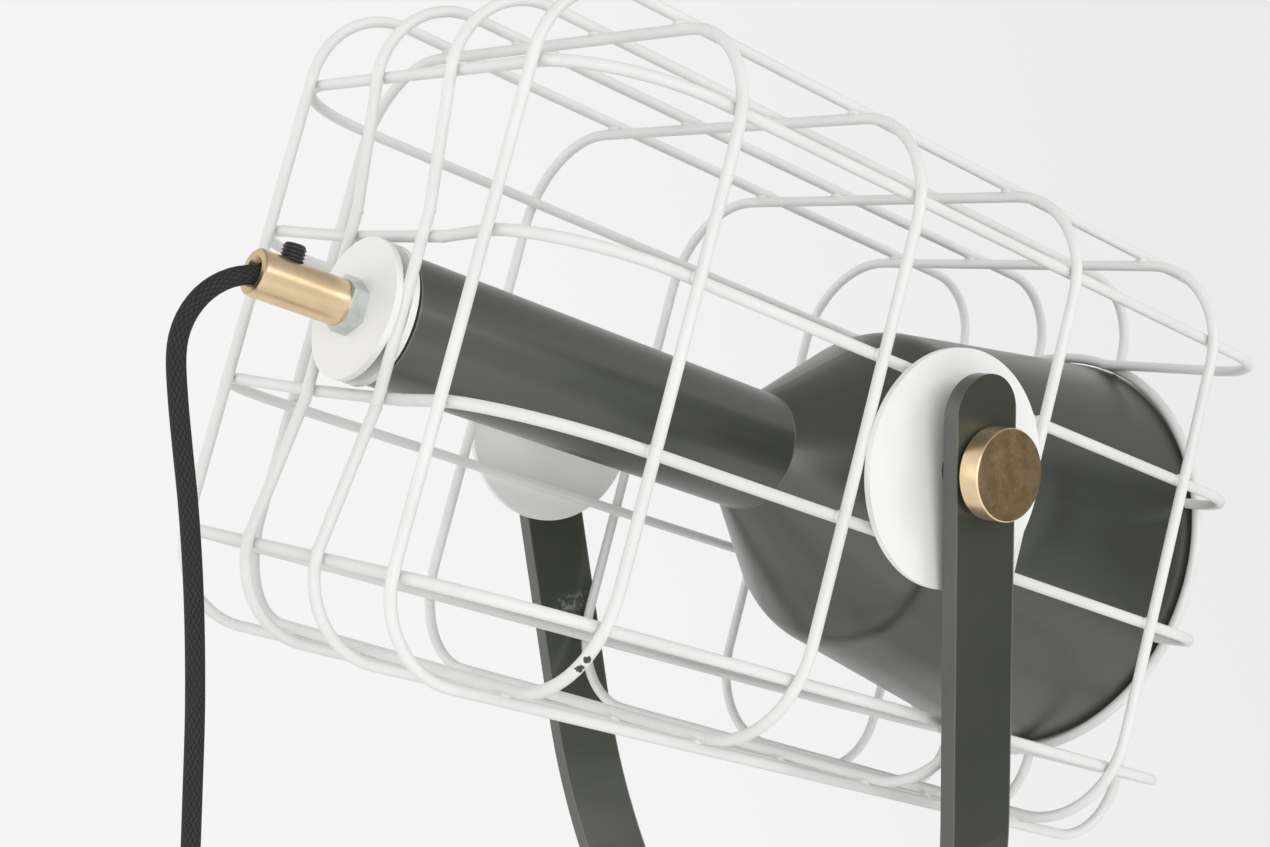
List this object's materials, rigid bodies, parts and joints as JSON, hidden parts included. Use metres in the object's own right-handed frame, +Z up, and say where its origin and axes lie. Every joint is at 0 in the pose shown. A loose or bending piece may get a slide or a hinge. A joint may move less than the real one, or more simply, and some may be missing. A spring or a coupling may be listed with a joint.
{
  "type": "floor lamp",
  "caption": "Floor lamp with a dark spun shade on a long neck inside a white wire cage, which tilts between the arms of a flat-bar yoke on a post and round base; corded foot switch.",
  "frame": {"origin": "centre of the felt pad's underside, on the floor under the post's axis", "axes": "X forward, the way the lamp points; Y along the tilt axis; Z up"},
  "size_m": [0.4542, 0.3408, 1.3577],
  "materials": {
    "cage_wire": "white powder coat, satin",
    "olive_paint": "dark olive grey, satin",
    "brass": "turned, a little tarnished",
    "steel": "zinc plated",
    "black_plastic": "black nylon",
    "grey_plastic": "dark grey",
    "holder_plastic": "ivory",
    "bulb_glass": "opal",
    "rubber": "black",
    "felt": "dark felt",
    "cord_fabric": "black braid"
  },
  "bodies": {
    "stand": {"yoke": "olive_paint", "yoke_bolt": "steel", "yoke_washer": "steel", "post_seat": "olive_paint", "post": "olive_paint", "post_foot": "steel", "post_collar": "olive_paint", "base_plate": "olive_paint", "base_bolt": "steel", "base_pad": "felt", "cord_drop": "cord_fabric", "cord_tail": "cord_fabric", "cord_coil": "cord_fabric", "cord_lead": "cord_fabric", "cord_tie": "rubber", "switch_base": "black_plastic", "switch_cover": "black_plastic", "switch_core": "holder_plastic", "switch_screws": "steel", "plug_body": "black_plastic", "plug_pins": "steel"},
    "head": {"cage_upright_wire_1": "cage_wire", "cage_upright_wire_2": "cage_wire", "cage_upright_wire_3": "cage_wire", "cage_upright_wire_4": "cage_wire", "cage_level_wire_1": "cage_wire", "cage_level_wire_2": "cage_wire", "cage_level_wire_3": "cage_wire", "cage_level_wire_4": "cage_wire", "cage_hoop_1": "cage_wire", "cage_hoop_2": "cage_wire", "cage_hoop_3": "cage_wire", "cage_hoop_4": "cage_wire", "cage_front_ring": "cage_wire", "pivot_plate_near": "cage_wire", "pivot_plate_far": "cage_wire", "pivot_nuts": "steel", "pivot_spacers": "olive_paint", "rear_plate_outer": "cage_wire", "rear_plate_inner": "cage_wire", "gasket_ring": "rubber", "neck_tube": "olive_paint", "shade": "olive_paint", "carrier_tube": "steel", "rear_nut": "steel", "neck_nut": "steel", "cord_grip": "brass", "grip_screw": "black_plastic", "inner_lead": "cord_fabric", "lampholder_body": "holder_plastic", "lampholder_shell": "brass", "holder_nut": "steel", "bulb_cap": "steel", "bulb_glass": "bulb_glass"},
    "knob_near": {"knob_near": "brass", "knob_near_stud": "steel"},
    "knob_far": {"knob_far": "brass", "knob_far_stud": "steel"},
    "switch_button": {"switch_button": "grey_plastic"}
  },
  "joints": [
    {"name": "head_tilt", "type": "hinge", "parent": "stand", "child": "head", "pos_m": [-0.02707, 0, 1.2], "axis": [0, 1, 0], "range_deg": [-68, 20], "deforming": ["cord_drop"]},
    {"name": "knob_near_turn", "type": "hinge", "parent": "head", "child": "knob_near", "pos_m": [-0.02707, -0.13, 1.2], "axis": [0, -1, 0], "range_deg": [0, 360]},
    {"name": "knob_far_turn", "type": "hinge", "parent": "head", "child": "knob_far", "pos_m": [-0.02707, 0.13, 1.2], "axis": [0, 1, 0], "range_deg": [0, 360]},
    {"name": "switch_press", "type": "slide", "parent": "stand", "child": "switch_button", "axis": [0, 0, -1], "range_m": [0, 0.0025], "stiffness_N_per_m": 800, "springref_m": -0.002}
  ]
}
